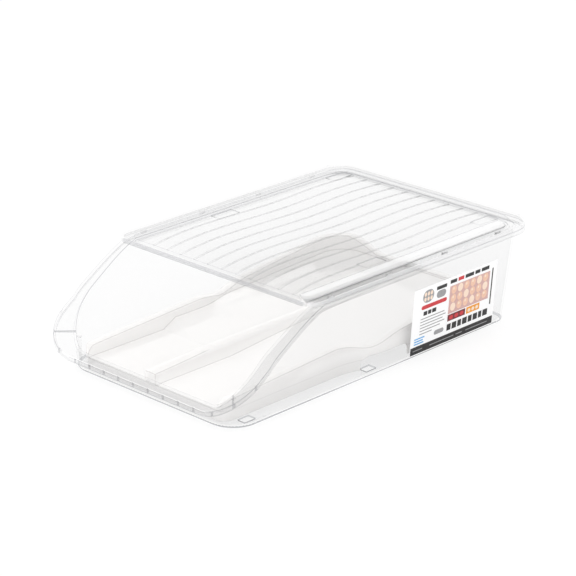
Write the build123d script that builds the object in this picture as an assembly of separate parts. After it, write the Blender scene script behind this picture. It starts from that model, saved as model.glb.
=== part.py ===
from build123d import *
import math
import os

# Egg holder: a clear open-front refrigerator bin with a lift-off ribbed lid and a loose milky tray
# inside, whose two lanes let eggs roll forward to the low front lip. Millimetres. +X is the label
# side, -Y the open front, +Z up. The origin is on the ground under the middle of the bin.

# bin: drafted tub
base_half_width = 108.0
base_half_length = 182.5
base_corner_radius = 26.0
back_corner_radius = 15.0
wall_draft = 4.5
bin_wall = 2.0
bin_floor = 2.2
foot_height = 1.5
foot_width = 9.0
foot_length = 13.0
foot_side_inset = 15.0
foot_end_inset = 28.5
foot_shift = 2.0
base_edge_radius = 3.0
floor_edge_radius = 2.0
corner_post_width = 4.0
corner_post_depth = 4.0
corner_post_height = 29.0

# bin: rim, level round the back and the sides, then swept down to the low front lip
rim_height = 97.5
rim_plate = 2.0
rim_skirt = 5.0
rim_skirt_wall = 2.0
rim_side_overhang = 9.44
rim_back_overhang = 7.94
rim_back_radius = 25.0
lip_height = 21.5
lip_overhang = 14.4
lip_corner_radius = 31.0
sweep_start = 68.0
sweep_start_slope = 0.3
sweep_knee = 12.0
sweep_knee_height = 67.5
sweep_knee_slope = 0.62
sweep_toe = 20.0
sweep_toe_height = 35.7
sweep_toe_slope = 1.08
rim_band_inside = 9.0
rim_band_outside = 34.0
crease_pitch = 19.0
crease_count = 9
crease_depth = 0.8
corner_crease_angles = [8.0, 45.0, 82.0]
rim_steps = 12

# lid
lid_height = 4.9
lid_wall = 1.8
lid_nose = 17.0
lid_front_bead = 7.5
lid_front_radius = 15.0
lid_plug_front_radius = 8.0
lid_plug_depth = 2.9
lid_fit = 0.7
lid_groove_floor = 2.5
lid_groove_depth = 6.0
lid_groove_slope = 6.8
lid_plug_radius = 20.0
lid_edge_radius = 1.4
wave_pitch = 17.5
wave_offset = 2.5
wave_width = 1.8
wave_height = 0.6
wave_bend = 8.0
wave_return = 3.0
wave_overrun = 2.0
wave_end_gap = 3.0
wave_side_gap = 2.0
wave_turns = [0.32, 0.57, 0.79]
wave_root = 0.3
recess_width = 12.0
recess_length = 26.0
recess_depth = 0.9
recess_inboard = 0.5
recess_behind = 3.5
recess_spread = 2.0
pad_length = 6.0
pad_width = 2.5
pad_pitch = 75.0
pad_count = 4

# egg ramp
ramp_wall = 1.6
ramp_side_gap = 4.0
ramp_front_gap = 2.5
ramp_back_gap = 6.0
ramp_narrowing = 10.0
ramp_front_radius = 11.0
ramp_back_radius = 35.0
ramp_widen_start = -40.0
ramp_widen_end = 20.0
ramp_strip = 9.0
ramp_front_height = 21.2
ramp_nose_height = 11.5
ramp_nose_length = 11.0
ramp_nose_slope = 3.0
ramp_vertex_height = 27.5
ramp_dip_height = 21.0
ramp_dip = -2.0
ramp_shoulder = 38.0
ramp_shoulder_height = 28.5
ramp_shoulder_slope = 0.12
ramp_crest = 140.0
ramp_crest_height = 39.0
ramp_scallop_half_width = 80.0
ramp_scallop_depth = 12.0
ramp_scallop_slope = 2.9
landing_height = 10.5
landing_length = 92.0
landing_edge_radius = 4.0
lane_middle = 30.0
lane_middle_height = 19.0
lane_back_height = 25.0
ledge_height = 18.5
ledge_width = 2.0
ledge_run = 40.0
ledge_rise = 18.0
ledge_root = 0.5
ridge_half_width = 6.5
ridge_height = 24.5
ridge_edge_radius = 3.0
skirt_height = 10.0
skirt_inset = 1.5
arch_spans = [(-10.0, 48.0), (64.0, 138.0)]
arch_height = 12.5
arch_corner = 8.0

# label
label_length = 117.0
label_height = 66.0
label_film = 0.25
label_back_inset = 24.5
label_bottom = 4.0

# worked out
draft_slope = math.tan(math.radians(wall_draft))
floor_top = foot_height + bin_floor
tub_rise = rim_height - foot_height
corner_x = base_half_width - base_corner_radius
corner_y = base_half_length - base_corner_radius
rim_half_width = base_half_width + tub_rise * draft_slope + rim_side_overhang
rim_back = base_half_length + tub_rise * draft_slope + rim_back_overhang
lip_front = base_half_length + (lip_height - foot_height) * draft_slope + lip_overhang
opening_half_width = base_half_width + tub_rise * draft_slope - bin_wall
opening_back = base_half_length + tub_rise * draft_slope - bin_wall
lid_top = rim_height + lid_height
rim_path_radius = base_corner_radius + (lip_height - foot_height) * draft_slope
rim_arc = rim_path_radius * math.pi / 2
lid_front = corner_y - sweep_start + lid_nose
foot_side = base_half_width - foot_side_inset
foot_pitch = base_half_length - foot_end_inset
recess_side = foot_side - recess_inboard
recess_front = foot_shift + recess_behind
recess_back = recess_front + foot_pitch + recess_spread
ramp_back_half_width = base_half_width - bin_wall - ramp_side_gap
ramp_front_half_width = ramp_back_half_width - ramp_narrowing
ramp_front = base_half_length - bin_wall - ramp_front_gap
ramp_back = base_half_length - bin_wall - ramp_back_gap
landing_back = landing_length - ramp_front
label_front = base_half_length - label_back_inset - label_length
far = 2 * (rim_back + lip_front)
cut_clear = 1.0


def plan(half_width, front, back, front_radius, back_radius):
    """A rectangle between y = -front and y = back, with its own corner radii at each end."""
    outline = Pos(0, (back - front) / 2) * Rectangle(2 * half_width, front + back)
    corners = outline.vertices().sort_by(Axis.Y)
    outline = fillet(corners[:2], front_radius)
    corners = [v for v in outline.vertices() if v.Y > back - 0.01]
    return fillet(corners, back_radius)


def prism(outline, bottom, top):
    """An outline in plan, extruded between two heights."""
    return extrude(Pos(0, 0, bottom) * outline, amount=top - bottom)


def block(x0, x1, y0, y1, z0, z1):
    """A box between two corners."""
    return Pos((x0 + x1) / 2, (y0 + y1) / 2, (z0 + z1) / 2) * Box(x1 - x0, y1 - y0, z1 - z0)


def drafted(grow, bottom, top):
    """The tub's base outline grown by grow, as a solid whose walls lean outwards by the mould's draft."""
    outline = Rectangle(2 * (base_half_width + grow), 2 * (base_half_length + grow))
    outline = fillet(outline.vertices().sort_by(Axis.Y)[:2], base_corner_radius + grow)
    tub = extrude(Pos(0, 0, bottom) * outline, amount=top - bottom, taper=-wall_draft)
    back_edges = [e for e in tub.edges() if e.center().Y > corner_y and abs(e.tangent_at(0.5).Z) > 0.5]
    return fillet(back_edges, back_corner_radius + grow)


def side_region(points):
    """A closed outline of (y, z) points, extruded across the whole width."""
    face = make_face(Polyline(*[(0, y, z) for y, z in points], close=True))
    return extrude(face, amount=far, dir=(1, 0, 0), both=True)


def rim_top(distance):
    """The rim's height at a distance along the wall, which is zero where the corner's arc begins."""
    knots = [
        (-rim_arc, lip_height, 0.0),
        (-sweep_toe, sweep_toe_height, sweep_toe_slope),
        (sweep_knee, sweep_knee_height, sweep_knee_slope),
        (sweep_start, rim_height, sweep_start_slope),
    ]
    for (s0, z0, m0), (s1, z1, m1) in zip(knots, knots[1:]):
        if distance <= s1 + 0.001:
            span = s1 - s0
            t = (distance - s0) / span
            rise = z0 * (2 * t**3 - 3 * t**2 + 1) + z1 * (3 * t**2 - 2 * t**3)
            return rise + span * (m0 * (t**3 - 2 * t**2 + t) + m1 * (t**3 - t**2))
    return rim_height


def rim_band(down, up):
    """The rim's top face on the right side of the lip, the corner and the side sweep, as a solid that
    reaches down and up from it."""
    inside = rim_path_radius - rim_band_inside
    outside = rim_path_radius + rim_band_outside
    lip = block(0, corner_x, -corner_y - outside, -corner_y - inside, lip_height - down, lip_height + up)

    shares = [k / rim_steps for k in range(rim_steps + 1)]
    corner_slope = (rim_top(cut_clear) - rim_top(-cut_clear)) / (2 * cut_clear)
    edges = []
    for radius in (inside, outside):
        points = []
        for share in shares:
            turn = share * math.pi / 2
            height = rim_top(-turn * rim_path_radius)
            points.append(Vector(
                corner_x + radius * math.cos(turn), -corner_y - radius * math.sin(turn), height - down
            ))
        slope = corner_slope * rim_path_radius / radius
        edges.append(Edge.make_spline(
            points, tangents=[Vector(0, -1, -slope), Vector(-1, 0, 0)], parameters=shares
        ))
    corner_face = Face.make_surface_from_curves(edges[0], edges[1])
    corner = Solid.extrude(corner_face, Vector(0, 0, down + up))

    stations = [sweep_start * share for share in shares]
    line = [(corner_x + inside, -corner_y + s, rim_top(s)) for s in stations]
    top = Spline(*line, tangents=[(0, 1, corner_slope), (0, 1, sweep_start_slope)])
    low = Pos(0, 0, -down) * top
    high = Pos(0, 0, up) * top
    ends = [Line(low @ 0, high @ 0), Line(low @ 1, high @ 1)]
    side = extrude(make_face(Curve() + [low, high] + ends), amount=outside - inside, dir=(1, 0, 0))
    return Part() + [lip, corner, side]


def make_bin():
    sweep_end = -corner_y + sweep_start
    right = block(0, far, -far, far, 0, far)
    outer = drafted(0, foot_height, rim_height)
    outer = fillet(outer.faces().sort_by(Axis.Z)[0].edges(), base_edge_radius)
    rise = bin_floor * draft_slope - bin_wall
    cavity = drafted(rise, floor_top, far)
    cavity = fillet(cavity.faces().sort_by(Axis.Z)[0].edges(), floor_edge_radius)
    post_start = base_corner_radius + (corner_post_height - foot_height) * draft_slope - bin_wall
    post_start -= corner_post_depth
    post = block(post_start, far, -corner_post_width / 2, corner_post_width / 2, 0, corner_post_height)
    cavity -= Pos(corner_x, -corner_y, 0) * Rot(0, 0, -45) * post
    outline = plan(rim_half_width, lip_front, rim_back, lip_corner_radius, rim_back_radius)
    inset = offset(outline, -rim_skirt_wall)
    rim_prism = prism(outline, 0, far) & right
    skirt_prism = rim_prism - prism(inset, -far, 2 * far)

    level_plate = prism(outline, rim_height - rim_plate, rim_height)
    level_skirt = prism(outline, rim_height - rim_skirt, rim_height) - prism(inset, 0, far)
    level_rim = (level_plate + level_skirt) & block(0, far, sweep_end, far, 0, far)
    swept_plate = rim_band(rim_plate, 0) & rim_prism
    swept_skirt = rim_band(rim_skirt, 0) & skirt_prism
    half = (outer & right) - rim_band(0, rim_height)
    half = half + [level_rim, swept_plate, swept_skirt]
    half -= cavity

    crease_side = crease_depth * math.sqrt(2)
    creases = []
    for k in range(crease_count // 2 + 1):
        groove = Pos(crease_pitch * k, -lip_front, lip_height - rim_skirt / 2) * Rot(0, 0, 45)
        creases.append(groove * Box(crease_side, crease_side, rim_skirt + 2 * cut_clear))
    turn_x = rim_half_width - lip_corner_radius
    turn_y = lip_front - lip_corner_radius
    for angle in corner_crease_angles:
        x = turn_x + lip_corner_radius * math.sin(math.radians(angle))
        y = -turn_y - lip_corner_radius * math.cos(math.radians(angle))
        creases.append(Pos(x, y, 0) * Rot(0, 0, 45 + angle) * Box(crease_side, crease_side, far))
    fold = Pos(corner_x, -corner_y, 0) * Rot(0, 0, -45) * Box(far, crease_depth, far)
    creases.append(fold & rim_band(crease_depth, rim_skirt) & block(corner_x, far, -far, -corner_y, 0, far))
    half = half - creases
    feet = []
    for y in (-foot_pitch, 0, foot_pitch):
        foot = Box(foot_width, foot_length, foot_height)
        feet.append(Pos(foot_side, y + foot_shift, foot_height / 2) * foot)
    half = half + feet
    return half + mirror(half, about=Plane.YZ)


def wave_rib(x):
    """One S-shaped bead on the lid's panel, as seen from above."""
    front = -lid_front + lid_front_bead
    back = rim_back - (rim_half_width - panel_half_width()) - wave_end_gap
    length = back - front
    middle = Spline(
        (x + wave_bend, front - wave_overrun),
        (x, front + wave_turns[0] * length),
        (x + wave_return, front + wave_turns[1] * length),
        (x, front + wave_turns[2] * length),
        (x + wave_return, back),
    )
    return trace(middle, line_width=wave_width)


def panel_half_width():
    return opening_half_width - lid_fit - lid_wall - lid_groove_floor - lid_groove_slope


def make_lid():
    front = lid_front - lid_front_bead
    plug_half = opening_half_width - lid_fit
    plug_back = opening_back - lid_fit
    groove_half = plug_half - lid_wall
    groove_back = plug_back - lid_wall
    foot_half = groove_half - lid_groove_floor
    foot_back = groove_back - lid_groove_floor
    groove_floor = lid_top - lid_groove_depth
    slope_angle = math.degrees(math.atan2(lid_groove_slope, lid_groove_depth))
    slope_shift = lid_wall / math.cos(math.radians(slope_angle))
    spare = 2 * lid_plug_radius
    clear = 2 * lid_wall

    def panel_body(shrink, bottom, top):
        """The raised panel's sloping body, which runs on past the front and is clipped there."""
        rise = bottom - groove_floor
        inset = shrink + rise * lid_groove_slope / lid_groove_depth
        radius = lid_plug_radius - lid_wall - lid_groove_floor - inset
        outline = plan(foot_half - inset, front + spare, foot_back - inset, radius, radius)
        return extrude(Pos(0, 0, bottom) * outline, amount=top - bottom, taper=slope_angle)

    outline = plan(rim_half_width, lid_front, rim_back, lid_front_radius, rim_back_radius)
    body = prism(outline, rim_height, lid_top)
    body = fillet(body.faces().sort_by(Axis.Z)[-1].edges(), lid_edge_radius)
    hollow = prism(offset(outline, -lid_wall), 0, lid_top - lid_wall)
    body -= hollow & block(-far, far, -front + lid_wall / 2, far, 0, far)
    plug = plan(plug_half, front, plug_back, lid_plug_front_radius, lid_plug_radius)
    body += prism(plug, rim_height - lid_plug_depth, lid_top - lid_wall / 2)
    groove_plan = offset(plug, -lid_wall)
    groove = prism(groove_plan, groove_floor, lid_top + clear) - panel_body(0, groove_floor, lid_top)
    body -= groove - prism(groove_plan, lid_top, lid_top + 2 * clear)

    under = panel_body(slope_shift, rim_height - lid_plug_depth, lid_top - lid_wall)
    body -= under & block(-far, far, -front + lid_wall, far, 0, far)

    wave_reach = panel_half_width() - wave_bend - wave_offset - wave_side_gap
    steps = int(2 * wave_reach / wave_pitch)
    for k in range(steps + 1):
        rib = wave_rib(wave_offset + wave_pitch * (k - steps / 2))
        body += prism(rib, lid_top - wave_root, lid_top + wave_height)
    for x in (-recess_side, recess_side):
        for y in (recess_front, recess_back):
            pocket = Pos(x, y, lid_top) * Box(recess_width, recess_length, 2 * recess_depth)
            body -= pocket
    pad_line = (rim_half_width - lid_wall + opening_half_width) / 2
    for k in range(pad_count):
        for x in (-pad_line, pad_line):
            y = pad_pitch * (k - 1)
            pad = block(x - pad_width / 2, x + pad_width / 2, y - pad_length / 2, y + pad_length / 2,
                        rim_height, lid_top - lid_wall / 2)
            body += pad
    return body


def ramp_outline():
    """The tray in plan: narrow at the front, then a double bend out to the wider back."""
    wide = ramp_back_half_width
    narrow = ramp_front_half_width
    middle = ((wide + narrow) / 2, (ramp_widen_start + ramp_widen_end) / 2)
    front_turn = ramp_front_radius - ramp_front
    back_turn = ramp_back - ramp_back_radius
    front_flat = narrow - ramp_front_radius
    back_flat = wide - ramp_back_radius
    edges = [Line((-front_flat, -ramp_front), (front_flat, -ramp_front))]
    edges.append(Line((back_flat, ramp_back), (-back_flat, ramp_back)))
    for side in (-1, 1):
        bend = (side * middle[0], middle[1])
        front_end = (side * front_flat, -ramp_front)
        edges.append(TangentArc(front_end, (side * narrow, front_turn), tangent=(side, 0)))
        edges.append(Line((side * narrow, front_turn), (side * narrow, ramp_widen_start)))
        edges.append(TangentArc((side * narrow, ramp_widen_start), bend, tangent=(0, 1)))
        edges.append(TangentArc((side * wide, ramp_widen_end), bend, tangent=(0, -1)))
        edges.append(Line((side * wide, ramp_widen_end), (side * wide, back_turn)))
        edges.append(TangentArc((side * wide, back_turn), (side * back_flat, ramp_back), tangent=(0, 1)))
    return make_face(Curve() + edges)


def under_rim(drop):
    """Everything under the tray's rim line, lowered by drop, as a side-view region."""
    z = floor_top - drop
    line = [
        Line((0, -far, z + ramp_nose_height), (0, -ramp_front, z + ramp_nose_height)),
        Spline(
            (0, -ramp_front, z + ramp_nose_height),
            (0, ramp_nose_length - ramp_front, z + ramp_front_height),
            tangents=[(0, 1, ramp_nose_slope), (0, 1, 0)],
        ),
        Line(
            (0, ramp_nose_length - ramp_front, z + ramp_front_height),
            (0, ramp_widen_start, z + ramp_vertex_height),
        ),
        Spline(
            (0, ramp_widen_start, z + ramp_vertex_height),
            (0, ramp_dip, z + ramp_dip_height),
            (0, ramp_shoulder, z + ramp_shoulder_height),
            tangents=[(0, 1, 0), (0, 1, ramp_shoulder_slope)],
        ),
        Line((0, ramp_shoulder, z + ramp_shoulder_height), (0, ramp_crest, z + ramp_crest_height)),
        Line((0, ramp_crest, z + ramp_crest_height), (0, far, z + ramp_crest_height)),
    ]
    closing = Polyline(
        (0, far, z + ramp_crest_height), (0, far, -far), (0, -far, -far), (0, -far, z + ramp_nose_height)
    )
    face = make_face(Curve() + line + [closing])
    top = z + ramp_crest_height
    low = top - ramp_scallop_depth
    reach = ramp_scallop_half_width
    slope = reach - ramp_scallop_depth * ramp_scallop_slope
    scallop = make_face(
        Polyline((-reach, 0, top), (-slope, 0, low), (slope, 0, low), (reach, 0, top), close=True)
    )
    scallop_start = ramp_back - ramp_strip - ramp_scallop_depth
    cut = extrude(Pos(0, scallop_start, 0) * scallop, amount=far, dir=(0, 1, 0))
    return extrude(face, amount=far, dir=(1, 0, 0), both=True) - cut


def under_front_rim(drop):
    """Everything under the straight front part of the rim line, which also caps the centre ridge."""
    z = floor_top - drop
    points = [
        (-far, z + ramp_front_height),
        (-ramp_front, z + ramp_front_height),
        (ramp_widen_start, z + ramp_vertex_height),
        (far, z + ramp_vertex_height),
        (far, -far),
        (-far, -far),
    ]
    return side_region(points)


def lane_hollow(grow):
    """The two egg lanes as one solid hollow, grown on every side by grow."""
    z = floor_top - grow
    edge_low = z + landing_height - landing_edge_radius
    edge_back = landing_edge_radius - ramp_front
    region = make_face(
        Curve() + [
            Line((0, -far, edge_low), (0, -ramp_front, edge_low)),
            TangentArc((0, -ramp_front, edge_low), (0, edge_back, z + landing_height), tangent=(0, 0, 1)),
            Line((0, edge_back, z + landing_height), (0, landing_back, z + landing_height)),
            Spline(
                (0, landing_back, z + landing_height),
                (0, lane_middle, z + lane_middle_height),
                (0, ramp_back, z + lane_back_height),
            ),
            Polyline(
                (0, ramp_back, z + lane_back_height),
                (0, far, z + lane_back_height),
                (0, far, far),
                (0, -far, far),
                (0, -far, edge_low),
            ),
        ]
    )
    above_floor = extrude(region, amount=far, dir=(1, 0, 0), both=True)
    lanes = prism(offset(ramp_outline(), -(ramp_strip - grow)), 0, far)
    half_width = ramp_front_half_width - ramp_strip + grow
    lanes += block(-half_width, half_width, -far, 2 * ramp_strip - ramp_front, 0, far)
    hollow = lanes & above_floor
    edge = ridge_half_width - grow
    top = floor_top + ridge_height - grow
    ridge = block(-edge, edge, -far, far, 0, top)
    ridge = fillet(ridge.edges().filter_by(Axis.Y).sort_by(Axis.Z)[-2:], ridge_edge_radius - grow / 2)
    hollow -= ridge
    ledge_edge = ramp_front_half_width - ramp_strip - ledge_width
    ledge_foot = ledge_edge - ledge_run
    ledge_low = z + landing_height - ledge_root
    points = [
        (ledge_foot, 0),
        (ledge_foot, ledge_low),
        (ledge_edge, z + ledge_height),
        (far, z + ledge_height),
        (far, 0),
    ]
    start = landing_back + grow
    under_rise = side_region([
        (start, 0),
        (start, ledge_low),
        (start + ledge_rise, z + ledge_height + cut_clear),
        (far, z + ledge_height + cut_clear),
        (far, 0),
    ])
    for side in (-1, 1):
        section = make_face(Polyline(*[(side * x, start, up) for x, up in points], close=True))
        hollow -= extrude(section, amount=far, dir=(0, 1, 0)) & under_rise
    return hollow


def ridge_nose(shrink):
    """The centre ridge's front end, which runs out over the tray's low front edge."""
    edge = ridge_half_width - shrink
    front = shrink - ramp_front
    bottom = floor_top + skirt_height - shrink
    nose = block(-edge, edge, front, front + 2 * ramp_strip, bottom, floor_top + ridge_height - shrink)
    return fillet(nose.edges().filter_by(Axis.Y).sort_by(Axis.Z)[-2:], ridge_edge_radius - shrink / 2)


def make_ramp():
    outline = ramp_outline()
    lanes = offset(outline, -ramp_strip)
    step = floor_top + skirt_height
    ridge_top = floor_top + ridge_height
    outer = prism(outline, step, far) + prism(offset(outline, -skirt_inset), floor_top, step)
    outer = (outer & under_rim(0)) + (prism(lanes, floor_top, ridge_top) & under_front_rim(0))
    outer += ridge_nose(0) & under_front_rim(0)
    inner = prism(offset(outline, -ramp_wall), step + ramp_wall, far)
    skirt_inside = offset(outline, -skirt_inset - ramp_wall)
    inner += prism(skirt_inside, floor_top - cut_clear, step + ramp_wall + cut_clear)
    middle = prism(lanes, floor_top - cut_clear, ridge_top - ramp_wall) & under_front_rim(ramp_wall)
    inner = (inner & under_rim(ramp_wall)) + middle + (ridge_nose(ramp_wall) & under_front_rim(ramp_wall))
    inner -= lane_hollow(ramp_wall)
    body = outer - inner - lane_hollow(0)

    for y0, y1 in arch_spans:
        low = floor_top - cut_clear
        high = floor_top + arch_height
        arch = Pos((y0 + y1) / 2, (low + high) / 2) * Rectangle(y1 - y0, high - low)
        arch = fillet(arch.vertices().sort_by(Axis.Y)[-2:], arch_corner)
        body -= extrude(Plane.YZ * arch, amount=far, both=True)
    return body


def make_label():
    lean = Plane(
        origin=(
            base_half_width + (label_bottom - foot_height) * draft_slope,
            label_front,
            label_bottom,
        ),
        x_dir=(0, 1, 0),
        z_dir=(math.cos(math.radians(wall_draft)), 0, -math.sin(math.radians(wall_draft))),
    )
    film = Box(label_length, label_height, label_film)
    return lean * Pos(label_length / 2, label_height / 2, label_film / 2) * film


def write(node, shape):
    """Writes one named node."""
    shape.label = node
    export_step(shape, os.path.join("parts", node + ".step"))
    print(node, len(shape.solids()), "solid", round(shape.volume), "mm3", shape.is_valid)


os.makedirs("parts", exist_ok=True)
write("bin_body", make_bin())
write("lid", make_lid())
write("egg_ramp", make_ramp())
write("side_label", make_label())
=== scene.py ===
import bpy
import bmesh
import math
from mathutils import Matrix, Vector


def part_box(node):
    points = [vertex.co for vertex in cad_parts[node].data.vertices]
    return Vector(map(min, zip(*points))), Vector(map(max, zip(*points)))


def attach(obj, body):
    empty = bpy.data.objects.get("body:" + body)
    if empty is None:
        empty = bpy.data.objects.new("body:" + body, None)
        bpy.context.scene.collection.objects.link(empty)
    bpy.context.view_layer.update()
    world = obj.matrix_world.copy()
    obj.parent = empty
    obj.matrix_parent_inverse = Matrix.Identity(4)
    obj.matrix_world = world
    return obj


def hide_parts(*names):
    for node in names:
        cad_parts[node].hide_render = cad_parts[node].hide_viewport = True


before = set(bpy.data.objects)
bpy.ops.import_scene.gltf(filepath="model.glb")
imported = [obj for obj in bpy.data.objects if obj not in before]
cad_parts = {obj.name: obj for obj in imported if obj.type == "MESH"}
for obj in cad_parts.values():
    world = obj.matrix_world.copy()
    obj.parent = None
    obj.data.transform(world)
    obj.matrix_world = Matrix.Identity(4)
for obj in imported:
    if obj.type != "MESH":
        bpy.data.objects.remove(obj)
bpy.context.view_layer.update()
scene = bpy.context.scene
scene.view_settings.view_transform = "Standard"


# The camera looks down at the open front corner through a long lens, as for a catalogue picture.
# Its place comes from the bin's own straight edges, seen from about two metres away.
camera_azimuth = math.radians(44.22)
camera_height = math.radians(21.21)
camera_distance = 2.15479
camera_target = Vector((-0.01021, 0.00504, 0.050))
towards_camera = Vector((
    math.sin(camera_azimuth) * math.cos(camera_height),
    -math.cos(camera_azimuth) * math.cos(camera_height),
    math.sin(camera_height),
))
camera = bpy.data.objects.new("camera", bpy.data.cameras.new("camera"))
scene.collection.objects.link(camera)
camera.location = camera_target + towards_camera * camera_distance
camera.rotation_euler = towards_camera.to_track_quat("Z", "Y").to_euler()
camera.data.lens = 145.75
camera.data.sensor_width = 36.0
camera.data.clip_end = 50.0
scene.camera = camera


# The white studio: a pale floor that keeps the object's soft shadow, and an even white surround.
# The surround lights everything from all sides, and two large soft lamps give the forms a side.
def colour(code):
    """An sRGB hex code as the linear colour that a shader takes."""
    parts = [int(code[k:k + 2], 16) / 255 for k in (1, 3, 5)]
    return [p / 12.92 if p <= 0.04045 else ((p + 0.055) / 1.055) ** 2.4 for p in parts] + [1.0]


def add(tree, kind, inputs=None, **settings):
    """Adds a node with its settings, and sets or links each of its inputs."""
    made = tree.nodes.new(kind)
    for key, value in settings.items():
        setattr(made, key, value)
    for key, value in (inputs or {}).items():
        if isinstance(value, bpy.types.NodeSocket):
            tree.links.new(value, made.inputs[key])
        else:
            made.inputs[key].default_value = value
    return made


def deselect():
    """Leaves nothing selected, because an operator acts on all that is."""
    bpy.ops.object.select_all(action="DESELECT")


white = colour("#FFFFFF")

world = bpy.data.worlds.new("white surround")
scene.world = world
world.use_nodes = True
tree = world.node_tree
tree.nodes.clear()
path = add(tree, "ShaderNodeLightPath")
seen = add(tree, "ShaderNodeMath", {
    0: path.outputs["Is Camera Ray"], 1: path.outputs["Is Glossy Ray"]}, operation="MAXIMUM")
seen = add(tree, "ShaderNodeMath", {
    0: seen.outputs[0], 1: path.outputs["Is Transmission Ray"]}, operation="MAXIMUM")
lit = add(tree, "ShaderNodeBackground", {"Color": white, "Strength": 1.01})
shown = add(tree, "ShaderNodeBackground", {"Color": white, "Strength": 1.0})
mix = add(tree, "ShaderNodeMixShader", {0: seen.outputs[0], 1: lit.outputs[0], 2: shown.outputs[0]})
add(tree, "ShaderNodeOutputWorld", {"Surface": mix.outputs[0]})

deselect()
bpy.ops.mesh.primitive_plane_add(size=16.0, location=(0, 0, 0))
floor = bpy.context.object
floor.name = "floor"

# To the eye the paper is four fifths plain white and one fifth lit, so that a soft shadow shows. What
# it throws back on the object is the light of a slightly grey paper. The Mix node has sockets for
# numbers, vectors and colours, and these are the places of its colour ones.
plain_share = 0.8
colour_a, colour_b, colour_out = 6, 7, 2
paper = bpy.data.materials.new("white paper sweep")
paper.use_nodes = True
tree = paper.node_tree
tree.nodes.clear()
path = add(tree, "ShaderNodeLightPath")
tone = add(tree, "ShaderNodeMix", {
    "Factor": path.outputs["Is Camera Ray"], colour_a: colour("#F4F4F4"), colour_b: white},
    data_type="RGBA")
matt = add(tree, "ShaderNodeBsdfDiffuse", {"Color": tone.outputs[colour_out]})
bright = add(tree, "ShaderNodeEmission", {"Color": white, "Strength": 1.0})
share = add(tree, "ShaderNodeMath", {
    0: path.outputs["Is Camera Ray"], 1: plain_share}, operation="MULTIPLY")
mix = add(tree, "ShaderNodeMixShader", {0: share.outputs[0], 1: matt.outputs[0], 2: bright.outputs[0]})
add(tree, "ShaderNodeOutputMaterial", {"Surface": mix.outputs[0]})
floor.data.materials.append(paper)

# The high lamp stands behind the object to the left, the front lamp before it to the right.
for name, power, place in (("high lamp", 4.0, (-1.1, 0.9, 1.9)), ("front lamp", 13.0, (1.3, -1.5, 1.5))):
    lamp = bpy.data.objects.new(name, bpy.data.lights.new(name, "AREA"))
    scene.collection.objects.link(lamp)
    lamp.data.shape = "DISK"
    lamp.data.size = 2.6
    lamp.data.energy = power
    lamp.location = place
    lamp.rotation_euler = (lamp.location - camera_target).to_track_quat("Z", "Y").to_euler()


# The bin is one shot of clear polystyrene, from a polished tool, and stands on six small feet. Its
# rounded edges bend the light away from the eye, so they carry painted shade and read as thin grey
# lines around walls that can hardly be seen.
def clear_plastic(name, through, body, least, most, roughness):
    """Clear moulded plastic. Straight on it hardly shows, and it greys towards grazing angles, where the
    light's way through it gets long. Only the face where a sight line enters is shaded, so that a wall's
    second face doesn't count again. The swirls are the flow of the melt, about 45 mm wide.
    """
    swirls = 22.0
    steepness = 3.0
    made = bpy.data.materials.new(name)
    made.use_nodes = True
    made.blend_method = "BLEND"
    tree = made.node_tree
    tree.nodes.clear()
    place = add(tree, "ShaderNodeTexCoord")
    flow = add(tree, "ShaderNodeTexNoise", {
        "Vector": place.outputs["Object"], "Scale": swirls, "Detail": 1.0})
    ripple = add(tree, "ShaderNodeBump", {
        "Height": flow.outputs["Fac"], "Strength": 0.03, "Distance": 0.004})
    surface = add(tree, "ShaderNodeBsdfPrincipled", {
        "Base Color": colour(body), "Roughness": roughness, "IOR": 1.59, "Normal": ripple.outputs[0]})
    clear = add(tree, "ShaderNodeBsdfTransparent", {"Color": colour(through)})
    weight = add(tree, "ShaderNodeLayerWeight", {"Blend": 0.35})
    steep = add(tree, "ShaderNodeMath", {0: weight.outputs["Facing"], 1: steepness}, operation="POWER")
    hiding = add(tree, "ShaderNodeMapRange", {
        "Value": steep.outputs[0], "To Min": least, "To Max": most})
    side = add(tree, "ShaderNodeNewGeometry")
    entering = add(tree, "ShaderNodeMath", {0: 1.0, 1: side.outputs["Backfacing"]}, operation="SUBTRACT")
    shade = add(tree, "ShaderNodeMath", {
        0: hiding.outputs[0], 1: entering.outputs[0]}, operation="MULTIPLY")
    mix = add(tree, "ShaderNodeMixShader", {
        0: shade.outputs[0], 1: clear.outputs[0], 2: surface.outputs[0]})
    add(tree, "ShaderNodeOutputMaterial", {"Surface": mix.outputs[0]})
    return made


# Each finish has its tint for what is behind it, its own colour, how much it hides straight on and at
# grazing angles, and its roughness. A wall hardly shows, a rounded edge is a thin grey line of painted
# shade, and the edge of the base is a darker one. The rim, its skirt and the lip are painted paler, as
# painted light that gathers in them, and the upper edge of the lip is a painted white highlight.
wall_clear = clear_plastic("clear polystyrene wall", "#FDFDFD", "#F3F3F5", 0.025, 0.26, 0.08)
edge_painted_shade = clear_plastic("clear polystyrene edge", "#F0F0F1", "#94969A", 0.30, 0.55, 0.12)
base_painted_shade = clear_plastic("clear polystyrene base edge", "#DCDDDF", "#7C7F83", 0.45, 0.68, 0.12)
rim_painted_light = clear_plastic("clear polystyrene rim", "#FBFBFB", "#FBFBFC", 0.20, 0.44, 0.10)
skirt_painted_light = clear_plastic("clear polystyrene skirt", "#FBFBFB", "#FAFAFB", 0.42, 0.62, 0.10)
lip_painted_light = clear_plastic("clear polystyrene lip", "#FCFCFC", "#F9F9FA", 0.10, 0.34, 0.08)
lip_painted_highlight = clear_plastic("clear polystyrene lip edge", "#FFFFFF", "#FFFFFF", 0.75, 0.85, 0.20)


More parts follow.
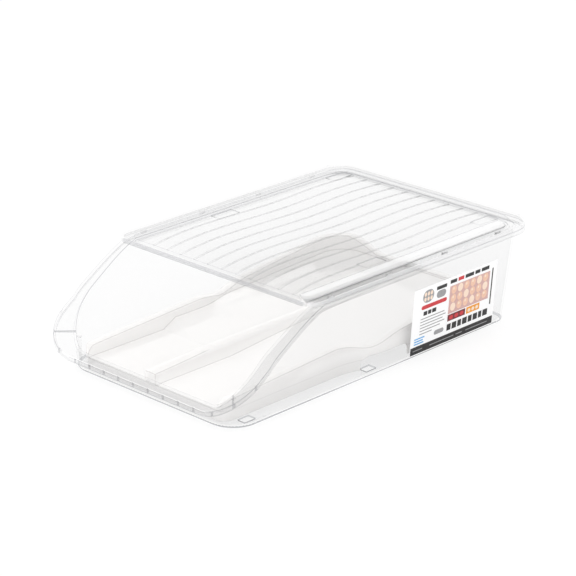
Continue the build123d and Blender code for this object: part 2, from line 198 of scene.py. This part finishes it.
def copied(node, name):
    """A CAD node's mesh as a new object, with its loose triangles joined into flat faces."""
    deselect()
    made = bpy.data.objects.new(name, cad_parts[node].data.copy())
    scene.collection.objects.link(made)
    made.data.materials.clear()
    bpy.context.view_layer.objects.active = made
    made.select_set(True)
    bpy.ops.object.mode_set(mode="EDIT")
    bpy.ops.mesh.select_all(action="SELECT")
    bpy.ops.mesh.remove_doubles(threshold=0.00001)
    bpy.ops.mesh.customdata_custom_splitnormals_clear()
    bpy.ops.mesh.select_all(action="SELECT")
    bpy.ops.mesh.dissolve_limited(angle_limit=math.radians(0.6), delimit={"NORMAL"})
    bpy.ops.object.mode_set(mode="OBJECT")
    return made


sharp_angle = math.radians(32)


def rounded(piece, width, edge_slot, left_sharp=lambda at: False):
    """Rounds the sharp edges of a moulding, and gives the rounding its own finish."""
    form = bmesh.new()
    form.from_mesh(piece.data)
    weight = form.edges.layers.float.new("bevel_weight_edge")
    for line in form.edges:
        crowded = any(left_sharp(end.co) for end in line.verts)
        sharp = len(line.link_faces) == 2 and line.calc_face_angle() > sharp_angle
        line[weight] = 1.0 if sharp and not crowded else 0.0
    form.to_mesh(piece.data)
    form.free()
    rounding = piece.modifiers.new("rounded edges", "BEVEL")
    rounding.width = width
    rounding.segments = 2
    rounding.limit_method = "WEIGHT"
    rounding.use_clamp_overlap = False
    rounding.material = edge_slot
    bpy.context.view_layer.objects.active = piece
    bpy.ops.object.modifier_apply(modifier="rounded edges")
    deselect()
    piece.select_set(True)
    bpy.context.view_layer.objects.active = piece
    bpy.ops.object.shade_smooth_by_angle(angle=sharp_angle)


def finish_faces(piece, slot, wanted):
    """Gives the faces whose middle and direction are wanted another of the piece's finishes."""
    for face in piece.data.polygons:
        if wanted(face.center, face.normal, face.material_index):
            face.material_index = slot


# How much a face looks up or down is the height of its direction, from 0 for upright to 1 for level.
leaning = 0.2
upright = 0.3
halfway = 0.5
level = 0.8
flat = 0.9

# The bin's sizes in metres. Only the feet are under the foot line, and the rounded edge of the base ends
# at the base line. The walls lean out from there by the draft, and what is outside a wall by more than
# the spare belongs to the rim or the lip.
draft = math.radians(4.5)
foot_line = 0.0014
foot_height = 0.0015
base_line = 0.0046
base_half_width = 0.108
base_half_length = 0.1825
back_radius = 0.015
front_radius = 0.026
wall_spare = 0.0008
level_rim = 0.0920
lip_low = 0.012
lip_top = 0.0216
lip_front = -0.19
glint_low = 0.0205
glint_high = 0.0230
glint_front = -0.197
edge_rounding = 0.0005

# Where the lip and a corner post meet the wall, and how near to it no rounding has room.
lip_root = Vector((0.0860, -0.1838, 0.0198))
lip_root_room = 0.0032
post_foot = Vector((0.0985, -0.1730, 0.0050))
post_foot_room = 0.0050

# An upright face at the rim looks outwards when its direction, times its distance from the middle of
# the bin, is over these values.
outwards_at_side = 0.06
outwards_at_end = 0.1


def faces_out(at, way):
    """Whether an upright face looks away from the middle of the bin."""
    outwards = way.x * at.x > outwards_at_side or way.y * at.y > outwards_at_end
    return abs(way.z) < upright and outwards


def outside_wall(at):
    """Whether a place lies outside the tub's leaning walls, where only the rim and the lip are."""
    lean = (at.z - foot_height) * math.tan(draft)
    radius = back_radius if at.y > 0 else front_radius + lean
    across = max(abs(at.x) - base_half_width - lean + radius, 0.0)
    along = max(abs(at.y) - base_half_length - lean + radius, 0.0)
    return math.hypot(across, along) > radius + wall_spare


def crowded_corner(at):
    """Whether a place is where the lip or a corner post meets the wall, with no room for a rounding."""
    mirrored = Vector((abs(at.x), at.y, at.z))
    return (mirrored - lip_root).length < lip_root_room or (mirrored - post_foot).length < post_foot_room


wall, edge, base, rim, lip, glint, skirt = range(7)
tub = copied("bin_body", "clear_tub")
for finish in (wall_clear, edge_painted_shade, base_painted_shade, rim_painted_light, lip_painted_light, lip_painted_highlight, skirt_painted_light):
    tub.data.materials.append(finish)
# Its roundings take the edge finish: painted shade that draws them as thin grey lines.
rounded(tub, edge_rounding, edge, crowded_corner)
# The rounded edge of the base and the sides of the feet take a darker painted shade.
finish_faces(tub, base, lambda at, way, slot:
             foot_line < at.z < base_line and -flat < way.z < -leaning)
finish_faces(tub, base, lambda at, way, slot: at.z < foot_line and abs(way.z) < level)
finish_faces(tub, wall, lambda at, way, slot: at.z < foot_line and way.z < -level)
# Rim, skirt and lip are painted paler: painted light for the light that gathers in them.
finish_faces(tub, rim, lambda at, way, slot: at.z > level_rim and slot == wall and outside_wall(at))
finish_faces(tub, skirt, lambda at, way, slot: slot == rim and faces_out(at, way))
finish_faces(tub, lip, lambda at, way, slot:
             lip_low < at.z <= level_rim and slot == wall and outside_wall(at))
finish_faces(tub, rim, lambda at, way, slot:
             slot == lip and at.y < lip_front and at.z < lip_top and abs(way.z) < halfway)
# The upper front edge of the lip is painted white, a painted highlight.
finish_faces(tub, glint, lambda at, way, slot:
             slot == edge and at.y < glint_front and glint_low < at.z < glint_high and way.z > upright)
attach(tub, "bin")
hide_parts("bin_body")


# The lid is a second shot of the same clear polystyrene, and lies loose on the rim with its plug wall
# in the opening. Plug wall, ribs and recesses are upright steps in a flat sheet, and show as lines of
# painted shade.

# The panel is the clearest finish. The ribs are fine grey lines of painted shade, the bead along the
# front edge is a darker line of it on a greyer painted band, and the slopes of the groove are painted
# white, as painted light that gathers in them.
panel_clear = clear_plastic("clear polystyrene panel", "#FEFEFE", "#FDFDFD", 0.010, 0.09, 0.08)
groove_painted_light = clear_plastic("clear polystyrene groove", "#FCFCFC", "#FDFDFD", 0.50, 0.74, 0.10)
bead_edge_painted_shade = clear_plastic("clear polystyrene bead edge", "#CBCDD0", "#55585D", 0.60, 0.85, 0.12)
rib_painted_shade = clear_plastic("clear polystyrene rib edge", "#F8F8F8", "#BDBFC2", 0.12, 0.28, 0.10)
bead_painted_shade = clear_plastic("clear polystyrene front bead", "#F0F0F1", "#CFD0D3", 0.30, 0.46, 0.12)

# The lid's sizes in metres, from the middle of the bin outwards.
lid_top = 0.1024
rib_low = lid_top - 0.0001
rim_low = lid_top - 0.0015
panel_side = 0.105
groove_inner_side = 0.1018
groove_outer_side = 0.1165
groove_inner_back = 0.176
groove_outer_back = 0.190
rim_side = 0.1137
rim_back = 0.188
bead_back = -0.1050
bead_edge_width = 0.001
lid_rounding = 0.0004


def in_groove(at):
    """Whether a place lies behind the bead, in the groove beside the panel or behind it."""
    at_side = groove_inner_side < abs(at.x) < groove_outer_side
    at_back = groove_inner_back < at.y < groove_outer_back
    return at.y > bead_back and (at_side or at_back)


panel, edge, bead_edge, rim, rib, bead, groove, skirt = range(8)
cover = copied("lid", "ribbed_lid")
for finish in (panel_clear, edge_painted_shade, bead_edge_painted_shade, rim_painted_light,
               rib_painted_shade, bead_painted_shade, groove_painted_light, skirt_painted_light):
    cover.data.materials.append(finish)
# The lid's roundings take the edge finish, thin grey lines of painted shade.
rounded(cover, lid_rounding, edge)
finish_faces(cover, rim, lambda at, way, slot:
             slot == panel and (abs(at.x) > rim_side or at.y > rim_back))
finish_faces(cover, rim, lambda at, way, slot: slot == edge and abs(at.x) > rim_side and at.z < rim_low)
finish_faces(cover, skirt, lambda at, way, slot: slot == rim and faces_out(at, way))
# The groove's slopes are painted white, as painted light.
finish_faces(cover, groove, lambda at, way, slot:
             slot in (panel, rim) and upright < way.z < flat and in_groove(at))
# The ribs' edges and the front bead carry painted shade.
finish_faces(cover, rib, lambda at, way, slot:
             slot == edge and at.z > rib_low and abs(at.x) < panel_side)
finish_faces(cover, bead, lambda at, way, slot: slot == panel and at.y < bead_back)
finish_faces(cover, bead_edge, lambda at, way, slot:
             at.y < bead_back + bead_edge_width and slot in (edge, rib))
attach(cover, "lid")
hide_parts("lid")


# The tray is milky polypropylene, moulded thin, with a satin face, and lies loose on the bin's floor.
# Light goes into it and comes out again softly. A painted glow stands in for that light, so its hollows
# stay pale, and what stands under it shows through a little.
def milky_plastic(name, thin, thick, hiding, painted_glow):
    """Milky plastic that hides a share of what is behind it. Its small glow is painted light, standing in
    for the light that scatters inside it. The clouds are its uneven thickness, about 110 mm wide, and the
    satin grain is drawn about 1.1 mm wide, coarser than a real tool's, so that it shows.
    """
    clouds = 9.0
    grains = 900.0
    made = bpy.data.materials.new(name)
    made.use_nodes = True
    made.blend_method = "BLEND"
    tree = made.node_tree
    tree.nodes.clear()
    place = add(tree, "ShaderNodeTexCoord")
    cloud = add(tree, "ShaderNodeTexNoise", {
        "Vector": place.outputs["Object"], "Scale": clouds, "Detail": 2.0})
    tone = add(tree, "ShaderNodeMix", {
        "Factor": cloud.outputs["Fac"], colour_a: colour(thin), colour_b: colour(thick)},
        data_type="RGBA")
    grain = add(tree, "ShaderNodeTexNoise", {
        "Vector": place.outputs["Object"], "Scale": grains, "Detail": 2.0})
    satin = add(tree, "ShaderNodeBump", {
        "Height": grain.outputs["Fac"], "Strength": 0.02, "Distance": 0.0003})
    surface = add(tree, "ShaderNodeBsdfPrincipled", {
        "Base Color": tone.outputs[colour_out], "Roughness": 0.38, "IOR": 1.49,
        "Normal": satin.outputs[0], "Emission Color": colour("#FFFEFE"), "Emission Strength": painted_glow})
    clear = add(tree, "ShaderNodeBsdfTransparent", {"Color": colour("#FEFDFC")})
    side = add(tree, "ShaderNodeNewGeometry")
    shade = add(tree, "ShaderNodeMapRange", {
        "Value": side.outputs["Backfacing"], "To Min": hiding, "To Max": 0.0})
    mix = add(tree, "ShaderNodeMixShader", {
        0: shade.outputs[0], 1: clear.outputs[0], 2: surface.outputs[0]})
    add(tree, "ShaderNodeOutputMaterial", {"Surface": mix.outputs[0]})
    return made


tray = copied("egg_ramp", "milky_tray")
tray.data.materials.append(milky_plastic("milky polypropylene", "#DBDAD9", "#DFDEDD", 0.78, 0.21))
# The tray's rounded edges are darker and glow less: painted shade that draws them as thin lines.
tray.data.materials.append(milky_plastic("milky polypropylene edge shade", "#CDCBCA", "#D3D1D0", 0.72, 0.12))
tray_edge_shade = 1
rounded(tray, edge_rounding, tray_edge_shade)
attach(tray, "ramp")
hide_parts("egg_ramp")


# The label is a white plastic film stuck on the right wall, screen printed in a few flat inks. Its
# design is only bars, blocks and egg shapes. Ink lies unevenly, which shows as a faint mottling.
def ink(name, thin, thick, roughness=0.42):
    """A flat ink or film: two near tones in a mottle about 1.5 mm wide, drawn coarser than real ink's."""
    spots = 650.0
    made = bpy.data.materials.new(name)
    made.use_nodes = True
    tree = made.node_tree
    surface = tree.nodes["Principled BSDF"]
    place = add(tree, "ShaderNodeTexCoord")
    mottle = add(tree, "ShaderNodeTexNoise", {
        "Vector": place.outputs["Object"], "Scale": spots, "Detail": 2.0})
    tone = add(tree, "ShaderNodeMix", {
        "Factor": mottle.outputs["Fac"], colour_a: colour(thin), colour_b: colour(thick)},
        data_type="RGBA")
    tree.links.new(tone.outputs[colour_out], surface.inputs["Base Color"])
    surface.inputs["Roughness"].default_value = roughness
    return made


# The film is smoother than the inks on it, so it has the clearer shine.
film_roughness = 0.30
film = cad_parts["side_label"]
film.data.materials.clear()
film.data.materials.append(ink("white label film", "#F4F4F5", "#FCFCFC", film_roughness))

inks = {
    "black": ink("black screen ink", "#232222", "#0B0B0B"),
    "grey": ink("grey screen ink", "#A3A3A4", "#8A8A8C"),
    "red": ink("red screen ink", "#D2343C", "#BE222B"),
    "maroon": ink("maroon screen ink", "#7E1824", "#5E0F1A"),
    "amber": ink("amber screen ink", "#EFA52E", "#DE8C1B"),
    "rose": ink("rose screen ink", "#D9B4AE", "#C59A96"),
    "shell": ink("eggshell screen ink", "#EFCDB6", "#E2B093"),
    "cream": ink("cream screen ink", "#F6E3D2", "#EED1BA"),
    "blue": ink("blue screen ink", "#6DB4E6", "#4C9AD4"),
}
ink_names = list(inks)

# All sizes of the print are in millimetres until it is put on the film. Each ink lies a little above
# the one under it, drawn thicker than real ink, so that the two never share a plane.
millimetre = 0.001
ink_lift = 0.03
ink_thickness = 0.08
nearly_half = 0.49

deselect()
bpy.ops.mesh.primitive_plane_add(size=1.0)
label_print = bpy.context.object
label_print.name = "label_print"
for name in ink_names:
    label_print.data.materials.append(inks[name])
bpy.ops.object.mode_set(mode="EDIT")
bpy.ops.mesh.delete(type="VERT")


def printed(shape, name, left, low, width, height, layer=1, turn=0.0):
    """Prints one bar, oval or pill on the label, measured from its lower front corner. A pill is a bar
    whose corners are rounded by nearly half its width, so that two of them don't meet.
    """
    middle = (left + width / 2, low + height / 2, ink_lift * layer)
    bpy.ops.mesh.select_all(action="DESELECT")
    if shape == "oval":
        bpy.ops.mesh.primitive_circle_add(vertices=24, radius=0.5, fill_type="NGON", location=middle)
    else:
        bpy.ops.mesh.primitive_plane_add(size=1.0, location=middle)
    bpy.ops.transform.resize(value=(width, height, 1.0), center_override=middle)
    if shape == "pill":
        bpy.ops.mesh.bevel(offset=nearly_half * min(width, height), segments=5, affect="VERTICES")
    if turn:
        bpy.ops.transform.rotate(value=math.radians(turn), orient_axis="Z", center_override=middle)
    label_print.active_material_index = ink_names.index(name)
    bpy.ops.object.material_slot_assign()


# The dark bar along the foot, with a line of grey strokes in it.
printed("bar", "black", 0.6, 1.0, 115.8, 7.6)
for left, width in ((4, 13), (27, 34), (64, 9), (78, 31)):
    printed("bar", "grey", left, 4.3, width, 0.8, 2)

# The picture panel: a rack of eggs seen from above, with two shallow drawers under it.
printed("bar", "rose", 50.0, 29.0, 57.0, 28.0)
for row in range(3):
    for column in range(6):
        name = "shell" if (row + column) % 3 else "cream"
        printed("oval", name, 52.4 + 9.0 * column, 31.0 + 8.6 * row, 7.2, 8.2, 2, 8.0 * (row - 1))
        printed("oval", "cream", 54.2 + 9.0 * column, 35.2 + 8.6 * row, 2.4, 2.6, 3)
printed("bar", "maroon", 50.0, 21.5, 25.0, 6.6)
printed("bar", "amber", 76.5, 21.5, 19.0, 6.6)
for column in range(3):
    printed("oval", "red", 52.4 + 7.4 * column, 22.6, 5.4, 4.2, 2)
    printed("oval", "cream", 78.4 + 5.6 * column, 22.8, 4.2, 3.6, 2)
printed("bar", "black", 110.0, 22.0, 1.6, 37.0)

# The headline over the panel, and the title under it, as rows of short plain strokes.
for left, width, name in (
        (50, 9, "black"), (61, 8, "red"), (71, 12, "black"), (85, 7, "black"), (94, 11, "black")):
    printed("bar", name, left, 59.6, width, 3.6)
for left, width in (
        (50, 5.6), (57.2, 6.4), (65.2, 5.2), (72.0, 6.6),
        (80.2, 5.4), (87.2, 6.2), (95.0, 4.6), (101.2, 6.8)):
    printed("bar", "black", left, 12.2, width, 6.4)

# The left column: a lidded box and a row of slots as signs, a red stripe, and lines of small strokes.
printed("pill", "grey", 12.5, 50.0, 15.0, 12.6)
for column in range(3):
    for row in range(2):
        printed("oval", "cream", 14.2 + 4.2 * column, 51.6 + 5.0 * row, 3.2, 4.2, 2)
printed("bar", "black", 31.0, 58.6, 14.0, 3.4)
printed("pill", "grey", 31.6, 50.0, 12.8, 7.4)
printed("pill", "red", 11.5, 44.0, 35.0, 4.0)
for left, width in ((15, 5.0), (21.2, 4.4), (26.8, 5.6)):
    printed("bar", "black", left, 37.6, width, 4.0)
for line, length in enumerate((33, 35, 31, 34, 28, 17)):
    printed("bar", "grey", 11.5, 34.2 - 3.0 * line, length, 0.9)
printed("pill", "grey", 32.0, 13.2, 13.5, 4.4)
for line, length in enumerate((14, 12, 13)):
    printed("bar", "blue", 5.0, 15.4 - 2.5 * line, length, 1.3)

bpy.ops.object.mode_set(mode="OBJECT")
solid = label_print.modifiers.new("ink thickness", "SOLIDIFY")
solid.thickness = ink_thickness
solid.offset = 0.0
bpy.ops.object.modifier_apply(modifier="ink thickness")

# The print goes on the film's outer face, which leans as the wall does. The lower front corner of that
# face is read from the label itself.
film_thickness = 0.00025
across = Vector((0.0, 1.0, 0.0))
upward = Vector((math.sin(draft), 0.0, math.cos(draft)))
outward = across.cross(upward)
label_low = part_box("side_label")[0]
corner = Vector((label_low[0] + film_thickness * outward.x, label_low[1], label_low[2]))
turned = Matrix((across, upward, outward)).transposed().to_4x4()
label_print.matrix_world = Matrix.Translation(corner) @ turned @ Matrix.Scale(millimetre, 4)
deselect()
label_print.select_set(True)
bpy.context.view_layer.objects.active = label_print
bpy.ops.object.transform_apply(location=True, rotation=True, scale=True)
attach(label_print, "bin")
